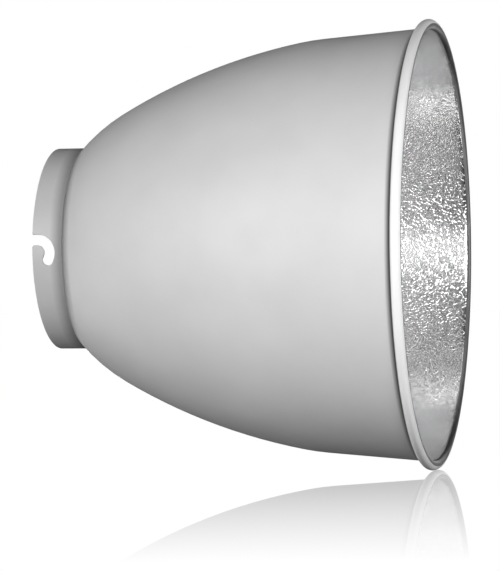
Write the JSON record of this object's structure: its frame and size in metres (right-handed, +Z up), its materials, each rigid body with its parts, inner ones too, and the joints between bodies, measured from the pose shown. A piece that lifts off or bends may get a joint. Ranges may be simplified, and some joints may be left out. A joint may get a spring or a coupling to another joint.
{
  "type": "flash head reflector",
  "caption": "Deep spun metal bowl reflector with a textured silver inside, a rolled rim and a rear collar with hooked bayonet slots.",
  "frame": {"origin": "centre of the collar's rear edge, on the optical axis", "axes": "+X along the optical axis towards the open rim, +Z up, one bayonet slot facing -Y"},
  "size_m": [0.2265, 0.26, 0.26],
  "materials": {
    "bowl_paint": "satin light grey outside, bright dimpled silver inside",
    "wire_steel": "drawn steel wire",
    "collar_paint": "satin light grey",
    "rivet_metal": "satin"
  },
  "bodies": {
    "root": {"bowl": "bowl_paint", "rim_wire": "wire_steel", "mount_collar": "collar_paint", "collar_rivets": "rivet_metal"}
  },
  "joints": []
}
